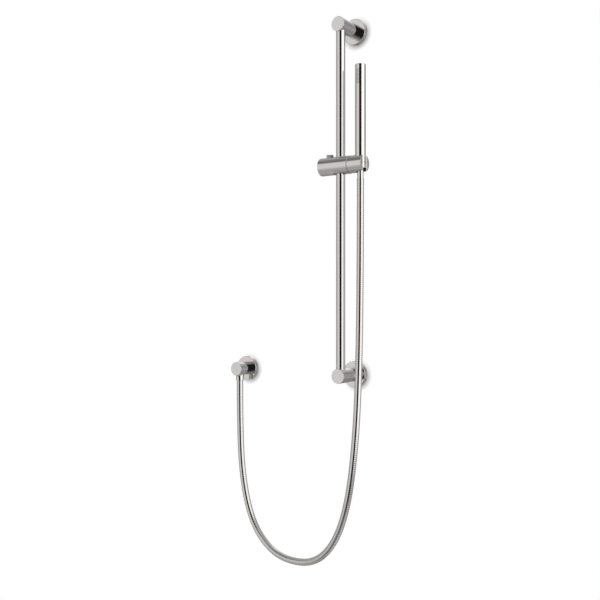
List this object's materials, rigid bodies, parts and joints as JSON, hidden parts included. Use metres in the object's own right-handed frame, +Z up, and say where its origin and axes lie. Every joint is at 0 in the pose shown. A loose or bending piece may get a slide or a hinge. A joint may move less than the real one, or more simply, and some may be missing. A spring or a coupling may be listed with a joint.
{
  "type": "hand shower slide bar set",
  "caption": "Wall slide bar with sliding, tilting holder, slim baton hand shower, metal hose and separate round wall outlet.",
  "frame": {"origin": "centre of the lower bracket's back face, on the wall", "axes": "+Z up along the rail, +Y into the wall, +X to the right seen from the front"},
  "size_m": [0.3409, 0.0739, 1.0637],
  "materials": {
    "polished_nickel": "polished nickel plate, mirror bright",
    "grey_plastic": "fine satin moulding",
    "white_plastic": "moulded acetal",
    "dark_rubber": "moulded rubber",
    "spray_face": "plated plastic",
    "brass": "turned brass",
    "steel": "stainless steel",
    "cast_zinc": "zinc casting",
    "hose_metal": "polished nickel interlock hose"
  },
  "bodies": {
    "root": {"lower_wall_base": "cast_zinc", "upper_wall_base": "cast_zinc", "lower_post": "polished_nickel", "upper_post": "polished_nickel", "lower_flange": "polished_nickel", "upper_flange": "polished_nickel", "post_grub_screws": "steel", "rail_lock_screws": "steel", "rail_tube": "polished_nickel", "rail_plugs": "white_plastic", "outlet_body": "polished_nickel", "outlet_flange": "polished_nickel", "outlet_seal": "dark_rubber", "valve_seat": "brass", "outlet_spigot": "brass", "outlet_washer": "dark_rubber", "hose_collar": "polished_nickel", "outlet_ferrule": "brass", "valve_spring": "steel", "hose": "hose_metal"},
    "glide": {"glide_rings": "white_plastic"},
    "slider": {"slider_body": "polished_nickel", "slider_end_cap": "polished_nickel", "guide_sleeve": "grey_plastic", "tilt_washer": "grey_plastic", "pivot_bolt": "steel", "pivot_nut": "steel", "button_spring": "steel", "brake_spring": "steel"},
    "button": {"release_button": "grey_plastic"},
    "brake": {"brake_shoe": "grey_plastic"},
    "holder": {"hand_shower_holder": "polished_nickel", "holder_seat": "dark_rubber", "wave_washer": "steel"},
    "handset": {"handset_tube": "polished_nickel", "handset_cap": "polished_nickel", "spray_plate": "spray_face", "nozzle_insert": "dark_rubber", "spray_chamber": "white_plastic", "waterway": "white_plastic", "bottom_fitting": "brass", "fitting_seal": "dark_rubber", "flow_restrictor": "white_plastic", "hose_nut": "polished_nickel", "nut_washer": "dark_rubber", "handset_ferrule": "brass"},
    "check_valve": {"valve_poppet": "white_plastic"}
  },
  "joints": [
    {"name": "slider_slide", "type": "slide", "parent": "root", "child": "glide", "axis": [0, 0, 1], "range_m": [-0.36, 0.23], "deforming": ["hose"]},
    {"name": "slider_swing", "type": "hinge", "parent": "glide", "child": "slider", "pos_m": [0, -0.0569, 0.3957], "axis": [0, 0, 1], "range_deg": [-90, 40]},
    {"name": "holder_tilt", "type": "hinge", "parent": "slider", "child": "holder", "pos_m": [0.0209, -0.0569, 0.3957], "axis": [1, 0, 0], "range_deg": [-12, 45]},
    {"name": "handset_lift", "type": "slide", "parent": "holder", "child": "handset", "axis": [0, 0, 1], "range_m": [0, 0.03]},
    {"name": "button_press", "type": "slide", "parent": "slider", "child": "button", "axis": [0, 0, -1], "range_m": [0, 0.002], "stiffness_N_per_m": 900, "springref_m": -0.001, "deforming": ["button_spring"]},
    {"name": "brake_release", "type": "slide", "parent": "slider", "child": "brake", "axis": [-1, 0, 0], "range_m": [0, 0.0006], "deforming": ["brake_spring"]},
    {"name": "check_valve_open", "type": "slide", "parent": "root", "child": "check_valve", "axis": [0, 0, -1], "range_m": [0, 0.0015], "stiffness_N_per_m": 60, "springref_m": -0.001, "deforming": ["valve_spring"]}
  ],
  "couplings": [
    {"joint": "brake_release", "follows": "button_press", "ratio": 0.3}
  ]
}
